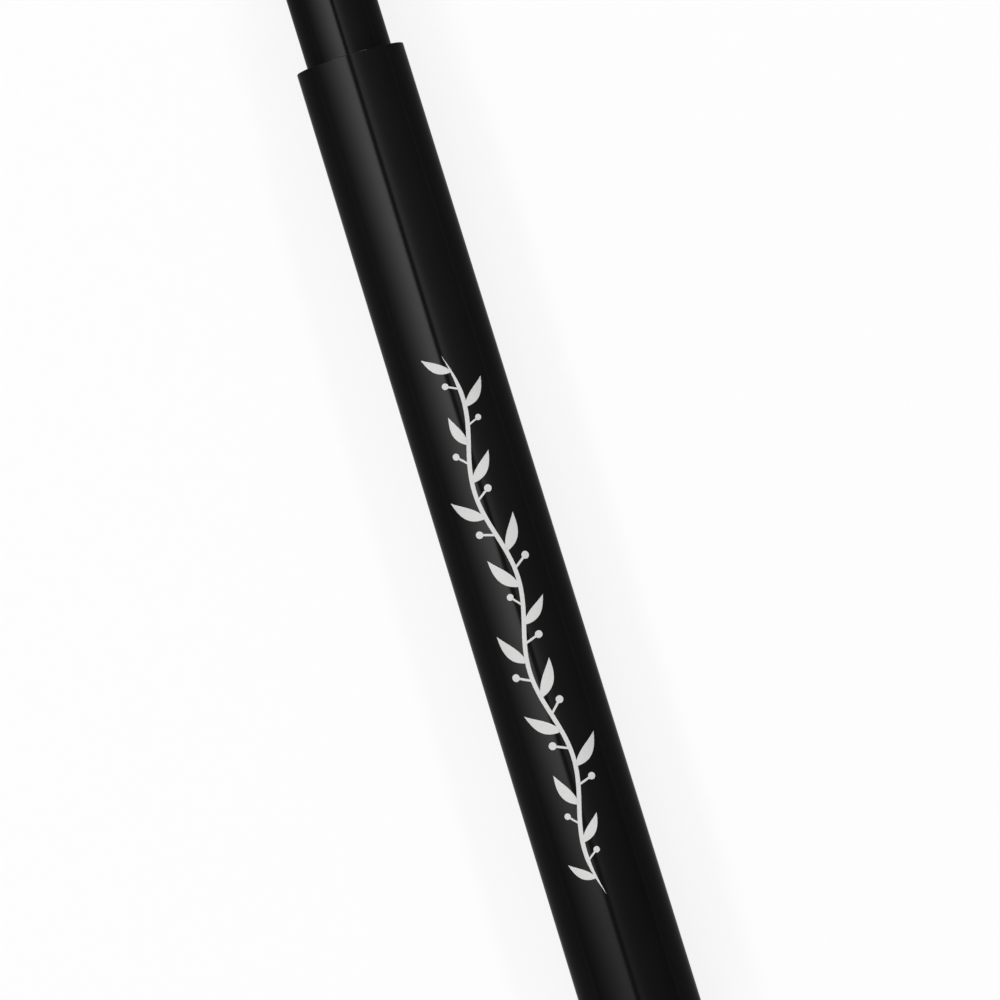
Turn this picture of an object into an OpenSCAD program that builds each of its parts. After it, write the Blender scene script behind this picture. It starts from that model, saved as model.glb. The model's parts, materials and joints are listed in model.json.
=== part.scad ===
// Liquid eyeliner pen with a free ink tank, a finned collector and a felt tip.
// The pen lies on its side along X, tip towards +X, and its cap lies pulled off in line with it.
// The origin is on the surface that it lies on, at the middle of pen and cap together.

/* [Barrel] */
// Length of the barrel shell, from the tail seam to the shoulder
barrel_length = 95; // [85:0.5:105]
// Outer diameter of the barrel at the shoulder
barrel_front_d = 10.15; // [10:0.05:10.6]
// Outer diameter of the barrel at the tail seam
barrel_tail_d = 10.77; // [10.4:0.01:11.4]
// Wall of the barrel at its thinner end, round the ink tank
barrel_wall = 0.825; // [0.7:0.025:1]
// Length of the narrow front bore that grips the front section
barrel_grip_length = 12; // [9:0.5:16]
// Chamfer on the outer edges of the barrel, cap and tail plug
edge_chamfer = 0.12; // [0.05:0.01:0.2]

/* [Tail plug] */
// Length of the tail plug's head
tail_head_length = 4; // [3:0.25:6]
// Corner radius of the tail plug's head
tail_corner_r = 1.1; // [0.6:0.1:1.6]
// Length of the tail plug's spigot inside the barrel
tail_spigot_length = 6; // [4:0.5:9]
// Wall of the cored tail plug
tail_wall = 1.2; // [0.9:0.1:1.6]

/* [Ink tank] */
// Wall of the ink tank
tank_wall = 0.65; // [0.5:0.05:0.8]
// Gap all round between the ink tank and the barrel
tank_gap = 0.1; // [0.05:0.01:0.15]
// Thickness of the gasket at the front of the tank
gasket_thickness = 0.6; // [0.4:0.05:1]
// Length of the tank plug inside the tank
tank_plug_length = 4; // [3:0.25:6]
// Thickness of the tank plug's flange
tank_flange_length = 0.8; // [0.5:0.1:1.5]
// Wall of the cored tank plug
tank_plug_wall = 0.8; // [0.6:0.05:1]
// Cord diameter of the sealing ring on the tank plug
plug_ring_cord_d = 0.7; // [0.5:0.05:0.9]
// Diameter of the steel mixing ball
ball_d = 4; // [3:0.1:5]

/* [Front section] */
// Height of the shoulder, from the neck that the cap pushes onto up to the barrel
shoulder_height = 1.075; // [1:0.025:1.2]
// Length of the neck in front of the shoulder
neck_length = 12; // [10:0.5:14]
// Height of the retaining bead on the neck
neck_bead_height = 0.08; // [0.04:0.01:0.09]
// Width of the retaining bead on the neck
neck_bead_width = 0.9; // [0.6:0.1:1.4]
// Distance from the front of the neck to the middle of the bead
neck_bead_setback = 3; // [2.6:0.1:3.4]
// Length of the spigot inside the ink tank
spigot_length = 10.5; // [8:0.5:14]
// How far the grip inside the barrel is set below the neck
grip_step = 0.2; // [0.18:0.01:0.25]
// Wall of the spigot
spigot_wall = 0.7; // [0.6:0.05:0.85]
// Length of the seat that the inner cap seals on
seat_length = 3; // [2:0.25:4]
// Wall of the cone's nose round the nib
cone_nose_wall = 0.6; // [0.45:0.05:0.85]
// Length of the cone
cone_length = 8.5; // [7:0.25:11]

/* [Nib and feed] */
// Diameter of the felt nib
nib_d = 2.2; // [1.8:0.05:2.4]
// Length of the nib in front of the cone
nib_reach = 6.5; // [5:0.25:8]
// Radius of the nib's point
nib_point_r = 0.16; // [0.1:0.01:0.3]
// Wall of the sleeve that grips the nib
nib_sleeve_wall = 0.8; // [0.6:0.05:0.95]
// Length of that sleeve
nib_sleeve_length = 6; // [4:0.25:7]
// Diameter of the relay core
relay_core_d = 2; // [1.5:0.05:2.1]
// Number of fins on the collector
collector_fins = 27; // [18:1:32]
// Thickness of a collector fin
collector_fin_thickness = 0.4; // [0.3:0.02:0.45]
// Wall of the collector's core tube
collector_core_wall = 0.6; // [0.45:0.05:0.75]
// Width of the collector's lengthwise slit
collector_slit_width = 0.35; // [0.25:0.05:0.5]
// Length of the collector's nozzle inside the tank
collector_nozzle_length = 5; // [3:0.5:8]

/* [Cap] */
// Length of the outer cap's shell, from its mouth to the crown seam
cap_length = 40; // [38:0.5:48]
// How much the cap's radius shrinks from its mouth to its crown seam
cap_taper = 0.125; // [0:0.025:0.2]
// Gap all round between the neck and the cap's bore
cap_clearance = 0.12; // [0.1:0.01:0.15]
// Length of the crown's head
crown_head_length = 3; // [2.5:0.25:5]
// Corner radius of the crown's head
crown_corner_r = 1; // [0.5:0.1:1.5]
// Thickness of the crown's end wall
crown_end_wall = 2.5; // [2:0.25:3]
// Wall of the crown's cup round the spring
crown_cup_wall = 0.9; // [0.8:0.05:1.1]
// Clear way between the nib's point and the mouth of the cap when it is pulled off
cap_pulled_off_gap = 20; // [18:1:40]

/* [Inner cap] */
// Wall of the inner cap's body
inner_cap_wall = 0.7; // [0.6:0.05:0.8]
// Clear length between the nib's point and the inner cap's end wall
nib_clearance = 1.5; // [1:0.25:2.5]
// Travel of the inner cap against its spring
inner_cap_travel = 1.5; // [0.5:0.1:2]
// Thickness of the seal ring on the inner cap's mouth
seal_ring_thickness = 0.8; // [0.5:0.1:1]
// Wire diameter of the spring
spring_wire_d = 0.5; // [0.4:0.05:0.6]
// Turns of the spring
spring_turns = 5; // [3.5:0.5:5]

/* [Hidden] */
$fn = 96;
// Turn of the seam that every turned piece closes on
seam_turn = 2.8;

// Fits between pieces
press_gap = 0.02;
slide_gap = 0.05;
face_gap = 0.1;
lead_chamfer = 0.25;

// Places along the pen, from the tail face at 0 towards the tip
shoulder_s = tail_head_length + barrel_length;
barrel_step_s = shoulder_s - barrel_grip_length;
tank_front_s = barrel_step_s - gasket_thickness;
tail_spigot_end_s = tail_head_length + tail_spigot_length;
tank_rear_s = tail_spigot_end_s + tank_flange_length;
tank_plug_front_s = tank_rear_s + tank_plug_length;
spigot_rear_s = barrel_step_s - spigot_length;
neck_front_s = shoulder_s + neck_length;
seat_front_s = neck_front_s + seat_length;
nose_s = seat_front_s + cone_length;
nib_point_s = nose_s + nib_reach;

// Radii of the barrel's bore, the tank and what fits in it
barrel_bore_r = min(barrel_front_d, barrel_tail_d) / 2 - barrel_wall;
tank_r = barrel_bore_r - tank_gap;
tank_bore_r = tank_r - tank_wall;
plug_r = tank_bore_r - press_gap;
spigot_r = tank_bore_r - press_gap;
chamber_r = spigot_r - spigot_wall;
neck_r = barrel_front_d / 2 - shoulder_height;
grip_r = neck_r - grip_step;
grip_bore_r = grip_r + press_gap;

// The nib's sleeve and the inside of the front section
sleeve_front_s = neck_front_s + lead_chamfer;
sleeve_rear_s = sleeve_front_s - nib_sleeve_length;
chamber_end_s = sleeve_rear_s - face_gap;
nib_rear_s = sleeve_rear_s + nib_sleeve_length / 3;
nib_r = nib_d / 2;
nib_bore_r = nib_r + slide_gap;
nib_sleeve_r = nib_bore_r + nib_sleeve_wall;
nose_r = nib_bore_r + cone_nose_wall;

// The collector and its core
collector_r = chamber_r - slide_gap;
collector_rear_s = spigot_rear_s;
collector_front_s = chamber_end_s - face_gap;
collector_end_disc = 1.4;
collector_bore_r = relay_core_d / 2 + slide_gap;
collector_core_r = collector_bore_r + collector_core_wall;
relay_core_reach = 1.5;

// The ring groove on the tank plug
ring_cord_r = plug_ring_cord_d / 2 - press_gap;
ring_r = tank_bore_r - press_gap - ring_cord_r;
groove_floor_r = ring_r - ring_cord_r - press_gap;
groove_width = plug_ring_cord_d + 2 * slide_gap;
groove_s = tank_rear_s + tank_plug_length / 2;

// The cap, from its mouth at 0 towards the crown
cap_mouth_r = barrel_front_d / 2;
cap_crown_r = cap_mouth_r - cap_taper;
cap_bore_r = neck_r + cap_clearance;
stop_bead_height = 0.17;
stop_bead_length = 1;
stop_bead_front = neck_length + face_gap;
stop_bead_end = stop_bead_front + stop_bead_length;
seal_front = stop_bead_front + slide_gap;
inner_cap_mouth = seal_front + seal_ring_thickness;
inner_cap_body_r = cap_bore_r - stop_bead_height - slide_gap;
inner_cap_bore_r = inner_cap_body_r - inner_cap_wall;
inner_cap_flange_r = cap_bore_r - slide_gap;
inner_cap_flange_start = stop_bead_end + slide_gap;
inner_cap_flange_length = 1.6;
seat_r = inner_cap_bore_r - face_gap;
seal_bore_r = seat_r + press_gap;
inner_cap_end = neck_length + seat_length + cone_length + nib_reach + nib_clearance;
inner_cap_end_wall = 1;
inner_cap_back = inner_cap_end + inner_cap_end_wall;
crown_end = cap_length + crown_head_length;
crown_floor = crown_end - crown_end_wall;
crown_spigot_r = cap_bore_r - press_gap;
crown_spigot_start = inner_cap_back + inner_cap_travel + face_gap;
spring_cup_r = crown_spigot_r - crown_cup_wall;
spring_r = spring_cup_r - face_gap;
spring_boss_r = spring_r - spring_wire_d - face_gap;
spring_boss_length = 1;

// Where the pen and the pulled-off cap lie
cap_rest_s = nib_point_s + cap_pulled_off_gap;
overall_length = cap_rest_s + crown_end;
tail_x = -overall_length / 2;
axis_z = barrel_tail_d / 2;

// Spring sweep
spring_sides = 8;
spring_rings_per_turn = 24;
corner_steps = 6;
tip_steps = 8;

// Radius of the barrel's outer cone at a place s from the tail face
function barrel_r(s) =
    (barrel_tail_d + (barrel_front_d - barrel_tail_d) * (s - tail_head_length) / barrel_length) / 2;

// Radius of the cap's outer cone at a place m from its mouth
function cap_r(m) = cap_mouth_r - cap_taper * m / cap_length;

// Points on an arc of radius r about the place [at_r, at_s]
function arc(at_r, at_s, r, from, to) = [
    for (i = [0 : corner_steps])
        let (a = from + (to - from) * i / corner_steps)
        [at_r + r * cos(a), at_s + r * sin(a)]
];

// Turns a profile of [radius, place] points round the pen's axis, its seam just beside the side that the pen lies on
module turned(points) {
    rotate([0, 0, seam_turn]) rotate_extrude() polygon(points);
}

// Sets a piece that is drawn upright from the tail face along the lying pen
module on_pen(s = 0) {
    translate([tail_x + s, 0, axis_z]) rotate([0, 90, 0]) children();
}

module barrel() {
    front_r = barrel_front_d / 2;
    tail_r = barrel_tail_d / 2;
    color([0.02, 0.02, 0.022]) on_pen() turned([
        [barrel_bore_r, tail_head_length],
        [tail_r - edge_chamfer, tail_head_length],
        [barrel_r(tail_head_length + edge_chamfer), tail_head_length + edge_chamfer],
        [barrel_r(shoulder_s - edge_chamfer), shoulder_s - edge_chamfer],
        [front_r - edge_chamfer, shoulder_s],
        [grip_bore_r, shoulder_s],
        [grip_bore_r, barrel_step_s],
        [barrel_bore_r, barrel_step_s]
    ]);
}

module tail_plug() {
    head_r = barrel_tail_d / 2;
    spigot_outer_r = barrel_bore_r - press_gap;
    core_r = spigot_outer_r - tail_wall;
    color([0.02, 0.02, 0.022]) on_pen() turned(concat(
        [[0, 0]],
        arc(head_r - tail_corner_r, tail_corner_r, tail_corner_r, -90, 0),
        [
            [head_r, tail_head_length - edge_chamfer],
            [head_r - edge_chamfer, tail_head_length],
            [spigot_outer_r, tail_head_length],
            [spigot_outer_r, tail_spigot_end_s - lead_chamfer],
            [spigot_outer_r - lead_chamfer, tail_spigot_end_s],
            [core_r, tail_spigot_end_s],
            [core_r, tail_wall],
            [0, tail_wall]
        ]
    ));
}

module ink_tank() {
    color([0.86, 0.87, 0.86]) on_pen() turned([
        [tank_bore_r, tank_rear_s],
        [tank_r, tank_rear_s],
        [tank_r, tank_front_s],
        [tank_bore_r, tank_front_s]
    ]);
}

module tank_plug() {
    core_r = groove_floor_r - tank_plug_wall;
    floor_s = tank_plug_front_s - tank_plug_wall;
    color([0.92, 0.92, 0.9]) on_pen() turned([
        [core_r, tail_spigot_end_s],
        [tank_r, tail_spigot_end_s],
        [tank_r, tank_rear_s],
        [plug_r, tank_rear_s],
        [plug_r, groove_s - groove_width / 2],
        [groove_floor_r, groove_s - groove_width / 2],
        [groove_floor_r, groove_s + groove_width / 2],
        [plug_r, groove_s + groove_width / 2],
        [plug_r, tank_plug_front_s - lead_chamfer],
        [plug_r - lead_chamfer, tank_plug_front_s],
        [0, tank_plug_front_s],
        [0, floor_s],
        [core_r, floor_s]
    ]);
}

module tank_plug_ring() {
    color([0.06, 0.06, 0.06]) on_pen(groove_s)
        rotate_extrude() translate([ring_r, 0]) circle(r = ring_cord_r, $fn = 24);
}

module tank_gasket() {
    color([0.75, 0.3, 0.25]) on_pen() turned([
        [tank_bore_r, tank_front_s],
        [tank_r, tank_front_s],
        [tank_r, barrel_step_s],
        [tank_bore_r, barrel_step_s]
    ]);
}

// Front section: spigot in the tank, grip in the barrel, neck with its bead, seat and cone
module front_section() {
    bead_s = neck_front_s - neck_bead_setback;
    bead_r = neck_r + neck_bead_height;
    sleeve_bore_r = nib_sleeve_r + press_gap;
    color([0.02, 0.02, 0.022]) on_pen() turned([
        [chamber_r, spigot_rear_s],
        [spigot_r - lead_chamfer, spigot_rear_s],
        [spigot_r, spigot_rear_s + lead_chamfer],
        [spigot_r, barrel_step_s],
        [grip_r, barrel_step_s],
        [grip_r, shoulder_s],
        [neck_r, shoulder_s],
        [neck_r, bead_s - neck_bead_width / 2],
        [bead_r, bead_s],
        [neck_r, bead_s + neck_bead_width / 2],
        [neck_r, neck_front_s - lead_chamfer],
        [neck_r - lead_chamfer, neck_front_s],
        [seat_r, neck_front_s],
        [seat_r, seat_front_s - lead_chamfer],
        [seat_r - lead_chamfer, seat_front_s],
        [nose_r, nose_s - lead_chamfer],
        [nose_r - lead_chamfer, nose_s],
        [nib_bore_r, nose_s],
        [nib_bore_r, sleeve_front_s],
        [sleeve_bore_r, sleeve_front_s],
        [sleeve_bore_r, chamber_end_s],
        [chamber_r, chamber_end_s]
    ]);
}

// Finned comb that holds back surplus ink, with its nozzle in the tank and an air slit
module collector() {
    nozzle_s = collector_rear_s - collector_nozzle_length;
    first_fin_s = collector_rear_s + collector_end_disc;
    last_fin_s = collector_front_s - collector_end_disc;
    pitch = (last_fin_s - first_fin_s) / collector_fins;
    fin_lead = (pitch - collector_fin_thickness) / 2;
    fins = [
        for (i = [0 : collector_fins - 1], corner = [0 : 3])
            let (s = first_fin_s + i * pitch + fin_lead)
            corner == 0 ? [collector_core_r, s]
                : corner == 1 ? [collector_r, s]
                : corner == 2 ? [collector_r, s + collector_fin_thickness]
                : [collector_core_r, s + collector_fin_thickness]
    ];
    color([0.9, 0.9, 0.88]) on_pen() difference() {
        turned(concat(
            [
                [collector_bore_r, nozzle_s],
                [collector_core_r, nozzle_s],
                [collector_core_r, collector_rear_s],
                [collector_r, collector_rear_s],
                [collector_r, first_fin_s],
                [collector_core_r, first_fin_s]
            ],
            fins,
            [
                [collector_core_r, last_fin_s],
                [collector_r, last_fin_s],
                [collector_r, collector_front_s],
                [collector_bore_r, collector_front_s]
            ]
        ));
        translate([0, -collector_slit_width / 2, first_fin_s])
            cube([2 * collector_r, collector_slit_width, last_fin_s - first_fin_s]);
    }
}

module relay_core() {
    rear_s = collector_rear_s - collector_nozzle_length - relay_core_reach;
    core_r = relay_core_d / 2;
    color([0.16, 0.16, 0.17]) on_pen() turned([
        [0, rear_s],
        [core_r - lead_chamfer, rear_s],
        [core_r, rear_s + lead_chamfer],
        [core_r, nib_rear_s],
        [0, nib_rear_s]
    ]);
}

module nib_sleeve() {
    color([0.8, 0.8, 0.78]) on_pen() turned([
        [nib_bore_r, sleeve_rear_s],
        [nib_sleeve_r - lead_chamfer, sleeve_rear_s],
        [nib_sleeve_r, sleeve_rear_s + lead_chamfer],
        [nib_sleeve_r, sleeve_front_s - press_gap],
        [nib_bore_r, sleeve_front_s - press_gap]
    ]);
}

// Felt nib: a straight rod with a tip that swells gently and ends in a rounded point
module nib() {
    tip_start_s = nose_s + nib_reach / 5;
    tip_length = nib_point_s - nib_point_r - tip_start_s;
    swell = nib_r / 8;
    tip = [
        for (i = [0 : tip_steps])
            let (t = i / tip_steps)
            [nib_r + (nib_point_r - nib_r) * t + swell * sin(180 * t), tip_start_s + tip_length * t]
    ];
    color([0.03, 0.03, 0.032]) on_pen() turned(concat(
        [[0, nib_rear_s], [nib_r, nib_rear_s]],
        tip,
        [for (a = [30 : 30 : 90])
            [nib_point_r * cos(a), nib_point_s - nib_point_r + nib_point_r * sin(a)]]
    ));
}

// The ball lies on the tank's wall, close to the tank plug
module mixing_ball() {
    ball_s = tank_plug_front_s + ball_d / 2 + face_gap;
    drop = tank_bore_r - ball_d / 2 - slide_gap;
    color([0.75, 0.75, 0.77])
        translate([tail_x + ball_s, 0, axis_z - drop]) sphere(d = ball_d);
}

module outer_cap() {
    bead_r = cap_bore_r - stop_bead_height;
    color([0.02, 0.02, 0.022]) on_pen(cap_rest_s) turned([
        [cap_bore_r + edge_chamfer, 0],
        [cap_mouth_r - edge_chamfer, 0],
        [cap_r(edge_chamfer), edge_chamfer],
        [cap_r(cap_length - edge_chamfer), cap_length - edge_chamfer],
        [cap_crown_r - edge_chamfer, cap_length],
        [cap_bore_r, cap_length],
        [cap_bore_r, stop_bead_end],
        [bead_r, stop_bead_end - stop_bead_height],
        [bead_r, stop_bead_front + stop_bead_height],
        [cap_bore_r, stop_bead_front],
        [cap_bore_r, edge_chamfer]
    ]);
}

module cap_crown() {
    color([0.02, 0.02, 0.022]) on_pen(cap_rest_s) turned(concat(
        [
            [0, crown_floor],
            [spring_cup_r, crown_floor],
            [spring_cup_r, crown_spigot_start],
            [crown_spigot_r - lead_chamfer, crown_spigot_start],
            [crown_spigot_r, crown_spigot_start + lead_chamfer],
            [crown_spigot_r, cap_length],
            [cap_crown_r - edge_chamfer, cap_length],
            [cap_crown_r, cap_length + edge_chamfer]
        ],
        arc(cap_crown_r - crown_corner_r, crown_end - crown_corner_r, crown_corner_r, 0, 90),
        [[0, crown_end]]
    ));
}

module inner_cap() {
    flange_end = inner_cap_flange_start + inner_cap_flange_length;
    color([0.88, 0.89, 0.88]) on_pen(cap_rest_s) turned([
        [inner_cap_bore_r, inner_cap_mouth],
        [inner_cap_body_r, inner_cap_mouth],
        [inner_cap_body_r, inner_cap_flange_start],
        [inner_cap_flange_r, inner_cap_flange_start],
        [inner_cap_flange_r, flange_end],
        [inner_cap_body_r, flange_end + lead_chamfer],
        [inner_cap_body_r, inner_cap_back - lead_chamfer],
        [inner_cap_body_r - lead_chamfer, inner_cap_back],
        [spring_boss_r, inner_cap_back],
        [spring_boss_r, inner_cap_back + spring_boss_length - lead_chamfer],
        [spring_boss_r - lead_chamfer, inner_cap_back + spring_boss_length],
        [0, inner_cap_back + spring_boss_length],
        [0, inner_cap_end],
        [inner_cap_bore_r, inner_cap_end]
    ]);
}

module inner_cap_seal() {
    color([0.7, 0.7, 0.68]) on_pen(cap_rest_s) turned([
        [seal_bore_r, seal_front],
        [inner_cap_body_r - lead_chamfer, seal_front],
        [inner_cap_body_r, seal_front + lead_chamfer],
        [inner_cap_body_r, inner_cap_mouth],
        [seal_bore_r, inner_cap_mouth]
    ]);
}

// Spring wound as one unbroken wire between the inner cap and the crown
module inner_cap_spring() {
    wire_r = spring_wire_d / 2;
    coil_r = spring_r - wire_r;
    rise = crown_floor - inner_cap_back - spring_wire_d - 2 * press_gap;
    rings = spring_turns * spring_rings_per_turn;
    points = [
        for (i = [0 : rings], k = [0 : spring_sides - 1])
            let (
                turn = 360 * i / spring_rings_per_turn,
                a = 360 * k / spring_sides,
                r = coil_r + wire_r * cos(a)
            )
            [r * cos(turn), r * sin(turn), rise * i / rings + wire_r * sin(a)]
    ];
    walls = [
        for (i = [0 : rings - 1], k = [0 : spring_sides - 1], half = [0 : 1])
            let (
                next = (k + 1) % spring_sides,
                low = i * spring_sides,
                high = low + spring_sides
            )
            half == 0 ? [low + k, high + k, high + next] : [low + k, high + next, low + next]
    ];
    ends = [
        for (k = [1 : spring_sides - 2], last = [0 : 1])
            let (base = last * rings * spring_sides)
            last == 0 ? [base, base + k, base + k + 1] : [base, base + k + 1, base + k]
    ];
    color([0.7, 0.7, 0.72]) on_pen(cap_rest_s + inner_cap_back + wire_r + press_gap)
        polyhedron(points = points, faces = concat(walls, ends));
}

barrel();
tail_plug();
ink_tank();
tank_plug();
tank_plug_ring();
tank_gasket();
front_section();
collector();
relay_core();
nib_sleeve();
nib();
mixing_ball();
outer_cap();
cap_crown();
inner_cap();
inner_cap_seal();
inner_cap_spring();
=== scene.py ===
"""Liquid eyeliner pen with its cap pulled off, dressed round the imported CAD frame.

Everything is in metres in the frame's own axes: X runs along the pen towards
the nib, Z is up, and the pen lies on z = 0. Each operator makes one piece or
one group of like pieces, and main() calls them in order.
"""

import json
import math

import bmesh
import bpy
from bpy.props import FloatProperty, FloatVectorProperty, IntProperty, PointerProperty
from mathutils import Matrix, Vector, noise


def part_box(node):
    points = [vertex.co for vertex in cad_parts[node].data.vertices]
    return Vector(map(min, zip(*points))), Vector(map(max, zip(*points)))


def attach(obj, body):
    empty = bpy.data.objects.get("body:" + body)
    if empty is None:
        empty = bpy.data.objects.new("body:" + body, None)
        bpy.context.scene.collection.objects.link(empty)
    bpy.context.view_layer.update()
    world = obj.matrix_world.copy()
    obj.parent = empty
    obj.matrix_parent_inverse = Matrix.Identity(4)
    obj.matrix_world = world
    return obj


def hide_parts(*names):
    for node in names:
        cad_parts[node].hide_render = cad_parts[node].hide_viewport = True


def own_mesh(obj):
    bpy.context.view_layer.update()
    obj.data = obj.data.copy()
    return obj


bl_info = {
    "name": "Liquid eyeliner pen",
    "version": (1, 0, 0),
    "blender": (4, 5, 0),
    "location": "3D View > Sidebar > Eyeliner",
    "description": "Makes a liquid eyeliner pen with its cap, and a plain studio",
    "category": "Add Mesh",
}

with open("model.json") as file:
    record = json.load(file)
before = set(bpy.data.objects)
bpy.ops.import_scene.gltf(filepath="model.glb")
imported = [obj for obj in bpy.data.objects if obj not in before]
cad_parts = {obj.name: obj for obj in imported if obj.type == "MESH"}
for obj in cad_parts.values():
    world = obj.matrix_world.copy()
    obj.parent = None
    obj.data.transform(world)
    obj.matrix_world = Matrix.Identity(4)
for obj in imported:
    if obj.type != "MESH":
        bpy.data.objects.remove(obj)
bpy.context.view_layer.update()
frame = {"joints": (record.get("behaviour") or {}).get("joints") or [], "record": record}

MM = 0.001
TURN = 2 * math.pi
NECK = next(m for m in frame["record"]["mounts"] if m["name"] == "neck")
AXIS_Z = NECK["pos_m"][2]


def starts_at(node):
    """X of the tail-side end of a CAD node."""
    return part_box(node)[0].x


def ends_at(node):
    """X of the nib-side end of a CAD node."""
    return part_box(node)[1].x


def span(node):
    """X of both ends of a CAD node, the tail side first."""
    return starts_at(node), ends_at(node)


# ---- properties


def length(name, millimetres, description):
    """A size property, given here in millimetres and kept in metres."""
    return FloatProperty(
        name=name, description=description, default=millimetres * MM, min=0.0,
        precision=5, subtype="DISTANCE", unit="LENGTH",
    )


def colour(name, value, description):
    """A linear colour property."""
    return FloatVectorProperty(
        name=name, description=description, default=value, min=0.0, max=1.0,
        size=3, subtype="COLOR",
    )


def number(name, value, description):
    """A plain number property."""
    return FloatProperty(name=name, description=description, default=value)


def count(name, value, description):
    """A whole number property."""
    return IntProperty(name=name, description=description, default=value, min=1)


def angle(name, degrees, description):
    """An angle property, given here in degrees and kept in radians."""
    return FloatProperty(
        name=name, description=description, default=math.radians(degrees),
        subtype="ANGLE", unit="ROTATION",
    )


class PenSizes(bpy.types.PropertyGroup):
    """Radii and walls of the pen's pieces."""

    sides: count("Sides", 192, "Faces round each turned piece")
    edge: length("Edge", 0.12, "Rounding of the outer edges")
    fine_edge: length("Fine edge", 0.06, "Rounding of the inner edges")
    tail_r: length("Tail radius", 5.385, "Outer radius at the tail seam")
    front_r: length("Front radius", 5.075, "Outer radius at the shoulder")
    bore_r: length("Bore radius", 4.25, "Radius of the barrel's bore")
    grip_bore_r: length("Grip bore", 3.82, "Radius of the barrel's front bore")
    grip_r: length("Grip radius", 3.8, "Radius of the front section's grip")
    tail_corner: length("Tail corner", 1.1, "Rounding of the tail's end")
    tail_head: length("Tail head", 4.0, "Length of the tail plug's head")
    tail_wall: length("Tail wall", 1.2, "Wall of the cored tail plug")
    gate_r: length("Gate mark", 0.75, "Radius of the moulding gate's recess")
    gate_depth: length("Gate depth", 0.12, "Depth of the gate's recess")
    press_gap: length("Press gap", 0.02, "Gap in a press fit")
    neck_r: length("Neck radius", 4.0, "Radius of the neck")
    neck_length: length("Neck length", 12.0, "Shoulder to the neck's front")
    bead_height: length("Bead height", 0.08, "Height of the neck's bead")
    bead_width: length("Bead width", 0.9, "Width of the neck's bead")
    bead_setback: length("Bead setback", 3.0, "Neck's front to the bead")
    seat_r: length("Seat radius", 3.1, "Radius of the inner cap's seat")
    seat_length: length("Seat length", 3.0, "Length of the seat")
    nose_r: length("Nose radius", 1.75, "Radius of the cone's nose")
    spigot_r: length("Spigot radius", 3.48, "Radius of the rear spigot")
    chamber_r: length("Chamber radius", 2.78, "Radius round the collector")
    sleeve_r: length("Sleeve radius", 1.95, "Radius of the nib's sleeve")
    nib_bore_r: length("Nib bore", 1.15, "Radius of the bore round the nib")
    nib_r: length("Nib radius", 1.1, "Radius of the nib")
    nib_point_r: length("Nib point", 0.16, "Radius of the nib's point")
    nib_reach: length("Nib reach", 6.5, "Length of nib in front of the cone")
    fibre_depth: length("Fibre depth", 0.012, "Height of the nib's fibres")


class FeedSizes(bpy.types.PropertyGroup):
    """Sizes of the ink tank and of what feeds the nib."""

    tank_r: length("Tank radius", 4.15, "Outer radius of the ink tank")
    tank_bore_r: length("Tank bore", 3.5, "Radius of the tank's bore")
    plug_wall: length("Plug wall", 0.8, "Wall of the cored tank plug")
    ring_cord_r: length("Ring cord", 0.33, "Radius of the sealing ring's cord")
    groove_width: length("Groove", 0.8, "Width of the ring's groove")
    fins: count("Fins", 27, "Number of fins on the collector")
    fin_r: length("Fin radius", 2.73, "Radius of the fins")
    fin_thickness: length("Fin thickness", 0.4, "Thickness of a fin")
    comb_core_r: length("Comb core", 1.65, "Radius of the collector's tube")
    comb_bore_r: length("Comb bore", 1.05, "Bore of the collector's tube")
    end_disc: length("End disc", 1.4, "Thickness of the collector's ends")
    nozzle: length("Nozzle", 5.0, "Length of the collector's nozzle")
    slit: length("Slit", 0.35, "Width of the collector's air slit")
    wick_r: length("Wick radius", 1.0, "Radius of the relay core")
    ball_r: length("Ball radius", 2.0, "Radius of the mixing ball")


class CapSizes(bpy.types.PropertyGroup):
    """Sizes of the cap, its crown and the sprung inner cap."""

    crown_seam_r: length("Seam radius", 4.95, "Cap's radius at the crown seam")
    bore_r: length("Cap bore", 4.12, "Radius of the cap's bore")
    stop_front: length("Stop bead", 12.1, "Cap's mouth to the stop bead")
    stop_length: length("Stop length", 1.0, "Length of the stop bead")
    stop_height: length("Stop height", 0.17, "Height of the stop bead")
    crown_head: length("Crown head", 3.0, "Length of the crown's head")
    crown_corner: length("Crown corner", 1.0, "Rounding of the crown's end")
    crown_wall: length("Crown wall", 2.5, "Thickness of the crown's end")
    cup_r: length("Cup radius", 3.2, "Radius of the crown's spring cup")
    body_r: length("Inner radius", 3.9, "Outer radius of the inner cap")
    inner_bore_r: length("Inner bore", 3.2, "Bore of the inner cap")
    flange_r: length("Flange radius", 4.07, "Radius of its guiding flange")
    flange_length: length("Flange length", 1.6, "Length of that flange")
    inner_floor: length("Inner floor", 1.0, "Thickness of its end wall")
    boss_r: length("Boss radius", 2.5, "Radius of the spring's boss")
    boss_length: length("Boss length", 1.0, "Length of the spring's boss")
    seal_bore_r: length("Seal bore", 3.12, "Bore of the seal ring")
    spring_r: length("Spring radius", 3.1, "Outer radius of the spring")
    wire_r: length("Wire radius", 0.25, "Radius of the spring's wire")
    spring_turns: number("Spring turns", 5.0, "Turns of the spring")
    closed_ends: number("Closed ends", 0.65, "How far the end turns close up")


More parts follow.
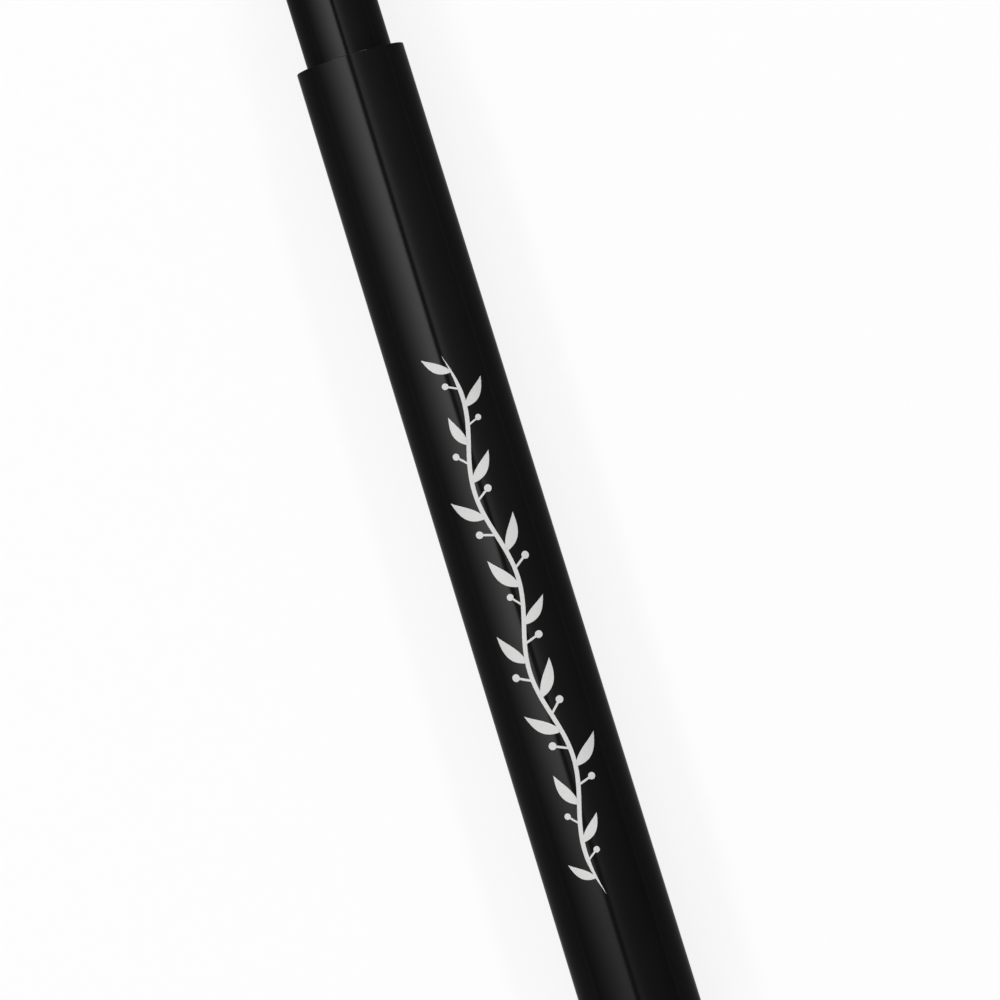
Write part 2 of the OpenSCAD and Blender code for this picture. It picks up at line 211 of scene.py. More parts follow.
class PrintSizes(bpy.types.PropertyGroup):
    """The sprig that is printed along the barrel."""

    start: length("Start", 19.5, "Tail face to the sprig's first end")
    run: length("Run", 51.0, "Length of the sprig")
    wave_height: length("Wave height", 0.75, "Swing of the stem to each side")
    wave_length: length("Wave length", 17.0, "Length of one swing there and back")
    stem_width: length("Stem width", 0.4, "Width of the stem")
    leaf_count: count("Leaves", 15, "Number of leaves")
    leaf_length: length("Leaf length", 3.6, "Length of a leaf")
    leaf_width: length("Leaf width", 1.05, "Width of a leaf")
    berry_r: length("Berry radius", 0.34, "Radius of a berry")
    stalk: length("Stalk", 1.5, "Length of a berry's stalk")
    film: length("Film", 0.014, "Thickness of the print")
    seed: count("Seed", 11, "Seed of the leaves' small differences")


class Finishes(bpy.types.PropertyGroup):
    """Base colours, in linear light."""

    black: colour("Black plastic", (0.0055, 0.0055, 0.0058), "Barrel and cap")
    natural: colour("Natural plastic", (0.82, 0.83, 0.81), "Tank, inner cap")
    white: colour("White plastic", (0.86, 0.86, 0.84), "Collector and sleeve")
    ink_print: colour("Print", (0.86, 0.86, 0.85), "Sprig on the barrel")
    black_rubber: colour("Black rubber", (0.03, 0.03, 0.03), "Plug's ring")
    red_rubber: colour("Red silicone", (0.5, 0.12, 0.08), "Tank gasket")
    grey_rubber: colour("Grey rubber", (0.55, 0.55, 0.53), "Inner cap's seal")
    wick: colour("Relay core", (0.03, 0.03, 0.032), "Inked fibre core")
    felt: colour("Nib felt", (0.02, 0.02, 0.022), "Inked nib")
    ball: colour("Ball steel", (0.75, 0.75, 0.77), "Mixing ball")
    wire: colour("Wire steel", (0.62, 0.62, 0.64), "Spring")


class StudioSettings(bpy.types.PropertyGroup):
    """Camera, lamps and floor."""

    camera_height: length("Camera height", 471.0, "Camera above the pen's axis")
    frame_width: length("Frame width", 91.45, "Width seen at the pen's axis")
    target_x: number("Target X", -0.03958, "Where the view's middle lies in X")
    target_y: number("Target Y", -0.00125, "Where the view's middle lies in Y")
    roll: angle("Roll", 17.1, "Turn of the pen from upright in the picture")
    world_level: number("World level", 0.035, "Light from all round")
    key_level: number("Key level", 1.34, "Brightest part of the long panel")
    side_level: number("Side level", 0.475, "Brightest part of the side panel")
    end_level: number("End level", 1.2, "Light of the two end panels")
    corner_level: number("Corner level", 9.0, "Light of the four corner strips")
    floor_radius: length("Floor radius", 3500.0, "Radius of the floor")
    floor_rim: length("Floor rim", 550.0, "Height of its curved-up rim")
    floor_share: number("Lit share", 0.25, "Share of the floor that takes light")


# ---- node helpers


class Field:
    """A number in a node tree, on which ordinary sums build Math nodes."""

    def __init__(self, tree, socket):
        self.tree = tree
        self.socket = socket

    def math(self, operation, *others):
        """Runs a Math node on this value and the others."""
        made = self.tree.nodes.new("ShaderNodeMath")
        made.operation = operation
        for socket, value in zip(made.inputs, (self, *others)):
            connect(self.tree, socket, value)
        return Field(self.tree, made.outputs[0])

    def __add__(self, other):
        return self.math("ADD", other)

    def __sub__(self, other):
        return self.math("SUBTRACT", other)

    def __mul__(self, other):
        return self.math("MULTIPLY", other)

    def __truediv__(self, other):
        return self.math("DIVIDE", other)

    def __rsub__(self, other):
        return self * -1.0 + other


def connect(tree, socket, value):
    """Links a value to a socket, or sets it there when it is plain."""
    if isinstance(value, Field):
        tree.links.new(value.socket, socket)
    elif isinstance(value, bpy.types.NodeSocket):
        tree.links.new(value, socket)
    elif isinstance(value, bpy.types.Node):
        tree.links.new(value.outputs[0], socket)
    else:
        socket.default_value = value


def add(tree, kind, inputs=None, **settings):
    """Adds a node with its settings and its inputs, by name or by number."""
    made = tree.nodes.new(kind)
    for key, value in settings.items():
        setattr(made, key, value)
    for key, value in (inputs or {}).items():
        connect(tree, made.inputs[key], value)
    return made


def field(tree, kind, inputs=None, output=0, **settings):
    """Adds a node and gives one of its outputs as a Field."""
    made = add(tree, kind, inputs, **settings)
    return Field(tree, made.outputs[output])


def ramp(tree, value, stops):
    """A grey ramp over stops, as (place, level) pairs."""
    made = add(tree, "ShaderNodeValToRGB", {"Fac": value})
    elements = made.color_ramp.elements
    while len(elements) < len(stops):
        elements.new(0.5)
    for element, (place, level) in zip(elements, stops):
        element.position = place
        element.color = (level, level, level, 1.0)
    return Field(tree, made.outputs["Color"])


def vector(tree, x=0.0, y=0.0, z=0.0):
    """A vector from three values."""
    return add(tree, "ShaderNodeCombineXYZ", {"X": x, "Y": y, "Z": z})


# ---- materials


# How strongly black plastic mirrors, from facing the eye to edge-on.
POLISH = [
    (0.0, 0.5), (0.05, 0.43), (0.134, 0.30), (0.2, 0.17), (0.232, 0.1),
    (0.249, 0.05), (0.267, 0.027), (0.286, 0.0225), (0.306, 0.0205),
    (0.374, 0.018), (0.457, 0.0138), (0.564, 0.0095), (0.659, 0.0064),
    (0.757, 0.0042), (0.87, 0.0015), (1.0, 0.0),
]
# Noise levels that bound the hairline scratches, and the ink round pinholes.
HAIRLINES = [(0.0, 0.0), (0.66, 0.0), (0.74, 1.0)]
PINHOLES = [(0.0, 0.0), (0.24, 0.0), (0.34, 1.0)]
PLASTIC_IOR = {"IOR": 1.5}
# The colour sockets of a Mix node.
MIX_A, MIX_B, MIX_RESULT = 6, 7, 2


def new_finish(name):
    """A material with its tree, shader and Object coordinates."""
    material = bpy.data.materials.new(name)
    material.use_nodes = True
    tree = material.node_tree
    shader = tree.nodes["Principled BSDF"]
    here = add(tree, "ShaderNodeTexCoord").outputs["Object"]
    return material, tree, shader, here


def grain(tree, here, size, detail=3.0, stretch=1.0, rough=0.55):
    """Noise whose features measure size, drawn out along X by stretch."""
    place = {"Vector": here, "Scale": (1.0 / stretch, 1.0, 1.0)}
    look = {"Scale": 1.0 / size, "Detail": detail, "Roughness": rough}
    scaled = add(tree, "ShaderNodeMapping", place)
    return field(tree, "ShaderNodeTexNoise", {"Vector": scaled, **look})


def tint(tree, value, colour_a, colour_b):
    """Blends two colours by a value from 0 to 1."""
    ends = {MIX_A: (*colour_a, 1.0), MIX_B: (*colour_b, 1.0), "Factor": value}
    return add(tree, "ShaderNodeMix", ends, data_type="RGBA").outputs[MIX_RESULT]


def shaded(base, share):
    """A colour made darker or lighter by a share."""
    return tuple(min(1.0, c * share) for c in base)


def coat(tree, shader, base, cloud, shares, rough, plain):
    """Clouds the base colour between two shares of it, and sets plain inputs."""
    low, high = (shaded(base, share) for share in shares)
    connect(tree, shader.inputs["Base Color"], tint(tree, cloud, low, high))
    connect(tree, shader.inputs["Roughness"], rough)
    for key, value in plain.items():
        shader.inputs[key].default_value = value


def relief(tree, shader, height, depth):
    """Puts a bump of that depth on the shader."""
    made = add(tree, "ShaderNodeBump", {"Distance": depth, "Height": height})
    connect(tree, shader.inputs["Normal"], made)


def gloss_black(base, name):
    """High-gloss moulded black plastic with fine hairlines."""
    material, tree, shader, here = new_finish(name)
    cloud = grain(tree, here, 6 * MM, detail=2.0)
    fine = grain(tree, here, 0.25 * MM, detail=4.0)
    rub = grain(tree, here, 0.09 * MM, detail=2.0, stretch=30.0)
    rough = fine * 0.05 + ramp(tree, rub, HAIRLINES) * 0.045 + 0.085
    coat(tree, shader, base, cloud, (0.85, 1.2), rough, PLASTIC_IOR)
    facing = field(tree, "ShaderNodeLayerWeight", {"Blend": 0.5}, output="Facing")
    connect(tree, shader.inputs["Specular IOR Level"], ramp(tree, facing, POLISH))
    relief(tree, shader, grain(tree, here, 2.4 * MM, detail=1.0), 0.003 * MM)
    return material


def soft_plastic(base, name, smooth, glow, mould):
    """Unpainted moulded plastic, milky or white, with a fine mould texture."""
    material, tree, shader, here = new_finish(name)
    cloud = grain(tree, here, 3 * MM)
    texture = grain(tree, here, mould, detail=4.0)
    milk = {"Subsurface Weight": glow, "Subsurface Scale": 0.6 * MM}
    rough = texture * 0.12 + smooth
    coat(tree, shader, base, cloud, (0.93, 1.04), rough, {**PLASTIC_IOR, **milk})
    relief(tree, shader, texture, 0.006 * MM)
    return material


def rubber(base, name):
    """Matte moulded rubber with a dusty bloom."""
    material, tree, shader, here = new_finish(name)
    bloom = grain(tree, here, 0.8 * MM, detail=5.0)
    rough = bloom * 0.2 + 0.5
    coat(tree, shader, base, bloom, (0.8, 1.25), rough, {"Sheen Weight": 0.15})
    relief(tree, shader, grain(tree, here, 0.08 * MM), 0.01 * MM)
    return material


def fibre(base, name, strand, dry):
    """Bonded fibres that run along the pen, soaked with ink."""
    material, tree, shader, here = new_finish(name)
    strands = grain(tree, here, strand, stretch=28.0, rough=0.6)
    lint = grain(tree, here, strand * 0.6, detail=4.0, stretch=3.0)
    fuzz = {"Sheen Weight": 0.12, "Sheen Roughness": 0.4}
    coat(tree, shader, base, strands, (0.45, 1.9), strands * 0.3 + dry, fuzz)
    relief(tree, shader, strands * 0.75 + lint * 0.25, 0.03 * MM)
    return material


def steel(base, name, smooth):
    """Bare stainless steel, polished or drawn."""
    material, tree, shader, here = new_finish(name)
    marks = grain(tree, here, 0.05 * MM)
    cloud = grain(tree, here, 0.9 * MM, detail=2.0)
    rough = marks * 0.12 + smooth
    coat(tree, shader, base, cloud, (0.92, 1.05), rough, {"Metallic": 1.0})
    relief(tree, shader, marks, 0.0015 * MM)
    return material


def print_ink(base, name):
    """White pad-printed ink: a thin satin film with faint pinholes."""
    material, tree, shader, here = new_finish(name)
    mottle = grain(tree, here, 0.5 * MM, detail=4.0)
    holes = ramp(tree, grain(tree, here, 0.07 * MM, detail=2.0), PINHOLES)
    cover = holes * 0.8 + mottle * 0.2
    coat(tree, shader, base, cover, (0.8, 1.0), mottle * 0.15 + 0.32, PLASTIC_IOR)
    relief(tree, shader, mottle * 0.5 + holes * 0.5, 0.004 * MM)
    return material


# For each slot: what makes it, its base colour, its name and what else it takes.
RECIPES = {
    "black_gloss": (gloss_black, "black", "gloss_black_plastic"),
    "natural_plastic": (
        soft_plastic, "natural", "natural_polypropylene", 0.28, 0.35, 0.2 * MM
    ),
    "white_plastic": (
        soft_plastic, "white", "satin_white_plastic", 0.36, 0.1, 0.12 * MM
    ),
    "print": (print_ink, "ink_print", "white_print"),
    "black_rubber": (rubber, "black_rubber", "black_rubber"),
    "red_rubber": (rubber, "red_rubber", "red_silicone"),
    "grey_rubber": (rubber, "grey_rubber", "grey_elastomer"),
    "ink_fibre": (fibre, "wick", "inked_fibre", 0.07 * MM, 0.62),
    "nib_felt": (fibre, "felt", "inked_felt", 0.055 * MM, 0.52),
    "bright_steel": (steel, "ball", "polished_steel", 0.05),
    "spring_steel": (steel, "wire", "drawn_wire", 0.25),
}
MATERIALS = {}


def finish(slot_name):
    """The material of a slot, made when it is first asked for."""
    if slot_name not in MATERIALS:
        make, tone, *values = RECIPES[slot_name]
        base = getattr(bpy.context.scene.eyeliner_finishes, tone)
        MATERIALS[slot_name] = make(base, *values)
    return MATERIALS[slot_name]


# ---- mesh making


ARC_STEPS = 6  # steps of a small arc over a right angle
LARGE_ARC, FINER = 0.5 * MM, 4  # a larger rounding has so many times the steps
ARC_ROOM = 0.45  # share of an edge that a rounding may take
SUPPORT, SUPPORT_ROOM = 0.03 * MM, 0.04  # support points: distance, share of edge
ON_AXIS = 1e-8  # a smaller radius is a point on the axis
SHARP = math.radians(38)  # a steeper edge is shaded sharp
WELD, FLAT = 0.0001 * MM, math.radians(0.1)  # how near and how flat counts as one
LEAD, CRISP = 0.25 * MM, 0.05 * MM  # rounding of pushed-in ends, of crisp edges
LAID = (0.0, math.pi / 2, 0.0)  # lays what was made along Z along the pen
CORD_SIDES, BALL_CUTS = 24, 5


def rounded(points, usual):
    """Replaces each corner of a profile by an arc with a support point each side.

    A point is (radius, x, rounding), or (radius, x) for the usual rounding. An
    open profile starts and ends on the axis, where nothing is rounded, and a
    closed one runs round the section of a ring.
    """
    made = []
    for i, (radius, place, *own) in enumerate(points):
        here = Vector((radius, place))
        rounding = own[0] if own else usual
        if radius < ON_AXIS or rounding <= 0:
            made.append(here)
            continue
        back = Vector(points[i - 1][:2]) - here
        on = Vector(points[(i + 1) % len(points)][:2]) - here
        a, b = back.normalized(), on.normalized()
        half = a.angle(b) / 2
        room = ARC_ROOM * min(back.length, on.length)
        reach = min(rounding / math.tan(half), room)
        arc_r = reach * math.tan(half)
        centre = here + (a + b).normalized() * (arc_r / math.sin(half))
        first, last = here + a * reach, here + b * reach
        from_angle = math.atan2(*(first - centre).yx)
        sweep = math.atan2(*(last - centre).yx) - from_angle
        sweep = (sweep + math.pi) % TURN - math.pi
        steps = max(2, round(ARC_STEPS * abs(sweep) / (math.pi / 2)))
        if rounding > LARGE_ARC:
            steps *= FINER
        made.append(first + a * min(SUPPORT, SUPPORT_ROOM * back.length))
        for k in range(steps + 1):
            turned = from_angle + sweep * k / steps
            made.append(centre + arc_r * Vector((math.cos(turned), math.sin(turned))))
        made.append(last + b * min(SUPPORT, SUPPORT_ROOM * on.length))
    return made


def turned_mesh(name, profile, sides, waver):
    """Turns a profile round the pen's axis into a closed mesh."""
    vertices, rings = [], []
    for radius, place in profile:
        if radius < ON_AXIS:
            rings.append([len(vertices)] * sides)
            vertices.append((place, 0.0, AXIS_Z))
            continue
        rings.append(range(len(vertices), len(vertices) + sides))
        for i in range(sides):
            turned = TURN * i / sides
            out = radius + (waver(turned, place, radius) if waver else 0.0)
            across, up = out * math.sin(turned), out * math.cos(turned)
            vertices.append((place, across, AXIS_Z + up))
    pairs = list(zip(rings, rings[1:]))
    if profile[0][0] > ON_AXIS:
        pairs.append((rings[-1], rings[0]))
    faces = []
    for low, high in pairs:
        for i in range(sides):
            j = (i + 1) % sides
            corners = [low[i], low[j], high[j], high[i]]
            faces.append(list(dict.fromkeys(corners)))
    mesh = bpy.data.meshes.new(name)
    mesh.from_pydata(vertices, [], faces)
    return outward(mesh)


def outward(mesh):
    """Points every face outwards and shades it smooth up to its sharp edges."""
    shape = bmesh.new()
    shape.from_mesh(mesh)
    bmesh.ops.recalc_face_normals(shape, faces=shape.faces)
    shape.to_mesh(mesh)
    shape.free()
    mesh.shade_smooth()
    mesh.set_sharp_from_angle(angle=SHARP)
    mesh.update()
    return mesh


def without_slivers(mesh):
    """Clears the thin double faces that a union leaves where flat faces meet."""
    shape = bmesh.new()
    shape.from_mesh(mesh)
    verts, edges = shape.verts, shape.edges
    bmesh.ops.remove_doubles(shape, verts=verts, dist=WELD)
    bmesh.ops.dissolve_degenerate(shape, edges=edges, dist=WELD)
    bmesh.ops.dissolve_limit(shape, angle_limit=FLAT, verts=verts, edges=edges)
    shape.to_mesh(mesh)
    shape.free()
    return mesh


def piece(mesh, name, slot_name, body, *nodes):
    """Makes a mesh a piece that rides on a body and stands for CAD nodes."""
    made = bpy.data.objects.new(name, mesh)
    bpy.context.scene.collection.objects.link(made)
    if not mesh.materials:
        mesh.materials.append(finish(slot_name))
    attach(made, body)
    if nodes:
        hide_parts(*nodes)
    return made


def turned_piece(name, slot_name, body, node, points, waver=None):
    """A turned piece from the corner points of its profile."""
    size = bpy.context.scene.eyeliner_pen
    profile = rounded(points, size.fine_edge)
    mesh = turned_mesh(name, profile, size.sides, waver)
    piece(mesh, name, slot_name, body, node)


SOCKET_KINDS = {
    int: "NodeSocketInt",
    float: "NodeSocketFloat",
    bpy.types.Material: "NodeSocketMaterial",
}


def by_name(group, *keys):
    """Values of a property group under the names that the panel shows."""
    shown = group.bl_rna.properties
    return {shown[key].name: getattr(group, key) for key in keys}


def grown_mesh(name, grow, values, slot_name):
    """Runs geometry nodes on named values and keeps the result as a plain mesh."""
    values = {**values, "Axis height": AXIS_Z, "Material": finish(slot_name)}
    tree = bpy.data.node_groups.new(name, "GeometryNodeTree")
    sockets = {
        tree.interface.new_socket(
            key, in_out="INPUT", socket_type=SOCKET_KINDS[type(value)]
        ).identifier: value
        for key, value in values.items()
    }
    tree.interface.new_socket(
        "Geometry", in_out="OUTPUT", socket_type="NodeSocketGeometry"
    )
    outputs = tree.nodes.new("NodeGroupInput").outputs
    given = {key: Field(tree, outputs[key]) for key in values}
    real = add(tree, "GeometryNodeRealizeInstances", {"Geometry": grow(tree, given)})
    dress = {"Geometry": real, "Material": given["Material"]}
    dressed = add(tree, "GeometryNodeSetMaterial", dress)
    add(tree, "NodeGroupOutput", {"Geometry": dressed})
    carrier = bpy.data.objects.new(name, bpy.data.meshes.new(name))
    bpy.context.scene.collection.objects.link(carrier)
    modifier = carrier.modifiers.new("grow", "NODES")
    modifier.node_group = tree
    for identifier, value in sockets.items():
        modifier[identifier] = value
    depsgraph = bpy.context.evaluated_depsgraph_get()
    grown = carrier.evaluated_get(depsgraph)
    mesh = bpy.data.meshes.new_from_object(grown, depsgraph=depsgraph)
    carrier.modifiers.clear()
    bpy.data.objects.remove(carrier)
    return mesh


# ---- the pen


class EYELINER_OT_barrel(bpy.types.Operator):
    """Make the tapered barrel shell"""

    bl_idname = "eyeliner.barrel"
    bl_label = "Barrel"

    def execute(self, context):
        size = context.scene.eyeliner_pen
        tail, front = span("barrel")
        step = ends_at("tank_gasket")
        turned_piece("barrel_shell", "black_gloss", "pen", "barrel", [
            (size.bore_r, tail), (size.tail_r, tail, size.edge),
            (size.front_r, front), (size.grip_bore_r, front),
            (size.grip_bore_r, step), (size.bore_r, step),
        ])
        return {"FINISHED"}


class EYELINER_OT_tail(bpy.types.Operator):
    """Make the tail plug with its rounded end and gate mark"""

    bl_idname = "eyeliner.tail"
    bl_label = "Tail plug"

    def execute(self, context):
        size = context.scene.eyeliner_pen
        tail, spigot_end = span("tail_plug")
        gate, floor_x = tail + size.gate_depth, tail + size.tail_wall
        head_end = tail + size.tail_head
        spigot_r = size.bore_r - size.press_gap
        core_r = spigot_r - size.tail_wall
        turned_piece("tail_plug_body", "black_gloss", "pen", "tail_plug", [
            (0.0, gate), (size.gate_r, gate), (size.gate_r + size.gate_depth, tail),
            (size.tail_r, tail, size.tail_corner), (size.tail_r, head_end, size.edge),
            (spigot_r, head_end), (spigot_r, spigot_end, LEAD), (core_r, spigot_end),
            (core_r, floor_x, 0.4 * MM), (0.0, floor_x),
        ])
        return {"FINISHED"}


class EYELINER_OT_tank(bpy.types.Operator):
    """Make the ink tank with its plug, sealing ring and gasket"""

    bl_idname = "eyeliner.tank"
    bl_label = "Ink tank"

    def execute(self, context):
        size, feed = context.scene.eyeliner_pen, context.scene.eyeliner_feed
        bore_r, tank_r, cord = feed.tank_bore_r, feed.tank_r, feed.ring_cord_r
        rear, front = span("ink_tank")
        turned_piece("ink_tank_tube", "natural_plastic", "pen", "ink_tank", [
            (bore_r, rear), (tank_r, rear), (tank_r, front), (bore_r, front),
        ])
        plug_rear, plug_front = span("tank_plug")
        ring_x = sum(span("tank_plug_ring")) / 2
        plug_r = bore_r - size.press_gap
        ring_r = plug_r - cord
        groove_r = ring_r - cord - size.press_gap
        core_r, floor_x = groove_r - feed.plug_wall, plug_front - feed.plug_wall
        low, high = ring_x - feed.groove_width / 2, ring_x + feed.groove_width / 2
        turned_piece("tank_plug_body", "white_plastic", "pen", "tank_plug", [
            (0.0, floor_x), (core_r, floor_x, 0.2 * MM), (core_r, plug_rear),
            (tank_r, plug_rear), (tank_r, rear), (plug_r, rear), (plug_r, low),
            (groove_r, low), (groove_r, high), (plug_r, high),
            (plug_r, plug_front, LEAD), (0.0, plug_front),
        ])
        section = []
        for k in range(CORD_SIDES):
            turned = TURN * k / CORD_SIDES
            out, along = cord * math.cos(turned), cord * math.sin(turned)
            section.append((ring_r + out, ring_x + along, 0.0))
        turned_piece(
            "tank_plug_o_ring", "black_rubber", "pen", "tank_plug_ring", section
        )
        rear, front = span("tank_gasket")
        soft = 0.12 * MM
        turned_piece("tank_gasket_ring", "red_rubber", "pen", "tank_gasket", [
            (bore_r, rear, soft), (tank_r, rear, soft),
            (tank_r, front, soft), (bore_r, front, soft),
        ])
        return {"FINISHED"}


class EYELINER_OT_front_section(bpy.types.Operator):
    """Make the neck, its bead, the seat, the cone and the spigot behind them"""

    bl_idname = "eyeliner.front_section"
    bl_label = "Front section"

    def execute(self, context):
        size = context.scene.eyeliner_pen
        rear, nose = span("front_section")
        shoulder, step = ends_at("barrel"), ends_at("tank_gasket")
        neck_front = shoulder + size.neck_length
        seat_front = neck_front + size.seat_length
        sleeve_front = ends_at("nib_sleeve") + size.press_gap
        chamber_end = starts_at("nib_sleeve") - 0.1 * MM
        sleeve_bore_r = size.sleeve_r + size.press_gap
        bead_x, half_bead = neck_front - size.bead_setback, size.bead_width / 2
        bead_r = size.neck_r + size.bead_height
        foot, top, lip = 0.3 * MM, 0.5 * MM, 0.22 * MM
        turned_piece("front_section_body", "black_gloss", "pen", "front_section", [
            (size.chamber_r, rear), (size.spigot_r, rear, LEAD), (size.spigot_r, step),
            (size.grip_r, step), (size.grip_r, shoulder), (size.neck_r, shoulder, 0.0),
            (size.neck_r, bead_x - half_bead, foot), (bead_r, bead_x, top),
            (size.neck_r, bead_x + half_bead, foot), (size.neck_r, neck_front, lip),
            (size.seat_r, neck_front, 0.1 * MM), (size.seat_r, seat_front, lip),
            (size.nose_r, nose, 0.2 * MM), (size.nib_bore_r, nose, 0.08 * MM),
            (size.nib_bore_r, sleeve_front), (sleeve_bore_r, sleeve_front),
            (sleeve_bore_r, chamber_end), (size.chamber_r, chamber_end),
        ])
        return {"FINISHED"}


class EYELINER_OT_feed(bpy.types.Operator):
    """Make the relay core and the sleeve that grips the nib"""

    bl_idname = "eyeliner.feed"
    bl_label = "Relay core and sleeve"

    def execute(self, context):
        size, wick_r = context.scene.eyeliner_pen, context.scene.eyeliner_feed.wick_r
        rear, front = span("relay_core")
        turned_piece("relay_core_rod", "ink_fibre", "pen", "relay_core", [
            (0.0, rear), (wick_r, rear, LEAD), (wick_r, front, CRISP), (0.0, front),
        ])
        rear, front = span("nib_sleeve")
        turned_piece("nib_sleeve_tube", "white_plastic", "pen", "nib_sleeve", [
            (size.nib_bore_r, rear), (size.sleeve_r, rear, LEAD),
            (size.sleeve_r, front), (size.nib_bore_r, front),
        ])
        return {"FINISHED"}


def comb(tree, given):
    """The collector: a slit tube, its repeated fins, two end discs and a nozzle."""

    def slice_of(inner, outer, thickness, slit=None):
        """A disc with a hole, round the axis, cut open by the slit if it has one."""
        path = {"Resolution": given["Sides"], "Radius": (inner + outer) * 0.5}
        kind = "GeometryNodeCurvePrimitiveCircle"
        if slit is not None:
            half = (slit / outer).math("ARCSINE") * 0.5
            path.update({"Start Angle": half, "Sweep Angle": half * -2.0 + TURN})
            kind = "GeometryNodeCurveArc"
        section = add(tree, "GeometryNodeCurvePrimitiveQuadrilateral", {
            "Width": outer - inner, "Height": thickness,
        })
        return add(tree, "GeometryNodeCurveToMesh", {
            "Curve": add(tree, kind, path),
            "Profile Curve": section,
            "Fill Caps": slit is not None,
        })

    def stood(shape, place, times=1, pitch=0.0):
        """Puts a slice, or a row of them, on the axis at a place."""
        line = add(tree, "GeometryNodeMeshLine", {
            "Count": times,
            "Start Location": vector(tree, x=place, z=given["Axis height"]),
            "Offset": vector(tree, x=pitch),
        })
        return add(tree, "GeometryNodeInstanceOnPoints", {
            "Points": line, "Instance": shape, "Rotation": LAID,
        })

    rear, front, disc = given["Rear"], given["Front"], given["End disc"]
    nozzle, slit, fin = given["Nozzle"], given["Slit"], given["Fin thickness"]
    core, bore, fin_r = given["Comb core"], given["Comb bore"], given["Fin radius"]
    first, last = rear + disc, front - disc
    pitch = (last - first) / given["Fins"]
    root = (core + bore) * 0.5
    tube_length, nozzle_length = last - first + fin, nozzle + disc
    fins = slice_of(root, fin_r, fin, slit)
    parts = [
        stood(fins, first + pitch * 0.5, given["Fins"], pitch),
        stood(slice_of(bore, core, tube_length, slit), first + (last - first) * 0.5),
        stood(slice_of(bore, core, nozzle_length), rear - nozzle + nozzle_length * 0.5),
        stood(slice_of(root, fin_r, disc), rear + disc * 0.5),
        stood(slice_of(bore, fin_r, disc), front - disc * 0.5),
    ]
    united = add(
        tree, "GeometryNodeMeshBoolean", operation="UNION", solver="MANIFOLD"
    )
    for part in parts:
        real = add(tree, "GeometryNodeRealizeInstances", {"Geometry": part})
        tree.links.new(real.outputs[0], united.inputs["Mesh 2"])
    return united


class EYELINER_OT_collector(bpy.types.Operator):
    """Make the finned collector comb"""

    bl_idname = "eyeliner.collector"
    bl_label = "Collector"

    def execute(self, context):
        feed = context.scene.eyeliner_feed
        rear, front = span("collector")
        values = by_name(
            feed, "fins", "fin_r", "fin_thickness", "comb_core_r", "comb_bore_r",
            "end_disc", "nozzle", "slit",
        )
        values.update({"Rear": rear + feed.nozzle, "Front": front, "Sides": 72})
        mesh = grown_mesh("collector_comb", comb, values, "white_plastic")
        mesh = outward(without_slivers(mesh))
        piece(mesh, "collector_comb", "white_plastic", "pen", "collector")
        return {"FINISHED"}


# The felt's fibres: how closely they lie round the nib and how far they run, and
# the same for the broader waves under them, which are shifted to differ.
FIBRES_CLOSE, FIBRE_RUN = 9.0, 4 * MM
WAVES_SHARE, WAVE_RUN, WAVE_SHIFT = 0.3, 1.5 * MM, 7.0
# How far behind the cone's nose the nib's fine rows and its ridges start.
ROWS_BACK, RIDGES_BACK = 1 * MM, 0.9 * MM
SHANK_ROWS, CONE_ROWS = 20, 48
POINT_STEP = 15  # degrees between the rows of the rounded point


class EYELINER_OT_nib(bpy.types.Operator):
    """Make the pointed felt nib with its fibres"""

    bl_idname = "eyeliner.nib"
    bl_label = "Nib"

    def execute(self, context):
        size = context.scene.eyeliner_pen
        rear, point = span("nib")
        nose, nib_r, point_r = ends_at("front_section"), size.nib_r, size.nib_point_r
        # It tapers from a fifth of its reach on, and swells a little halfway.
        shank, cone = nose - ROWS_BACK, nose + size.nib_reach / 5
        taper, swell = point - point_r - cone, nib_r / 8
        points = [(0.0, rear), (nib_r, rear, CRISP)]
        for i in range(SHANK_ROWS):
            points.append((nib_r, shank + (cone - shank) * i / SHANK_ROWS, 0.0))
        for i in range(CONE_ROWS + 1):
            t = i / CONE_ROWS
            bulge = swell * math.sin(math.pi * t)
            radius = nib_r + (point_r - nib_r) * t + bulge
            points.append((radius, cone + taper * t, 0.0))
        for degrees in range(POINT_STEP, 90, POINT_STEP):
            turned = math.radians(degrees)
            back = point_r * (1 - math.sin(turned))
            points.append((point_r * math.cos(turned), point - back, 0.0))
        points.append((0.0, point))

        def fibres(turned, place, radius):
            """Low ridges along the felt, from just inside the cone to the point."""
            if place < nose - RIDGES_BACK:
                return 0.0
            across = Vector((math.cos(turned), math.sin(turned))) * FIBRES_CLOSE
            strand = noise.noise(Vector((*across, place / FIBRE_RUN)))
            along = place / WAVE_RUN + WAVE_SHIFT
            broad = noise.noise(Vector((*(across * WAVES_SHARE), along)))
            lift = 0.7 * strand + 0.5 * broad - 0.5
            return size.fibre_depth * lift * min(1.0, radius / nib_r + 0.25)

        turned_piece("felt_nib", "nib_felt", "pen", "nib", points, fibres)
        return {"FINISHED"}


class EYELINER_OT_ball(bpy.types.Operator):
    """Make the steel mixing ball"""

    bl_idname = "eyeliner.ball"
    bl_label = "Mixing ball"

    def execute(self, context):
        low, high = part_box("mixing_ball")
        middle = Matrix.Translation((low + high) / 2)
        ball_r = context.scene.eyeliner_feed.ball_r
        shape = bmesh.new()
        bmesh.ops.create_icosphere(
            shape, subdivisions=BALL_CUTS, radius=ball_r, matrix=middle
        )
        mesh = bpy.data.meshes.new("steel_ball")
        shape.to_mesh(mesh)
        shape.free()
        piece(outward(mesh), "steel_ball", "bright_steel", "ball", "mixing_ball")
        return {"FINISHED"}


# ---- the cap


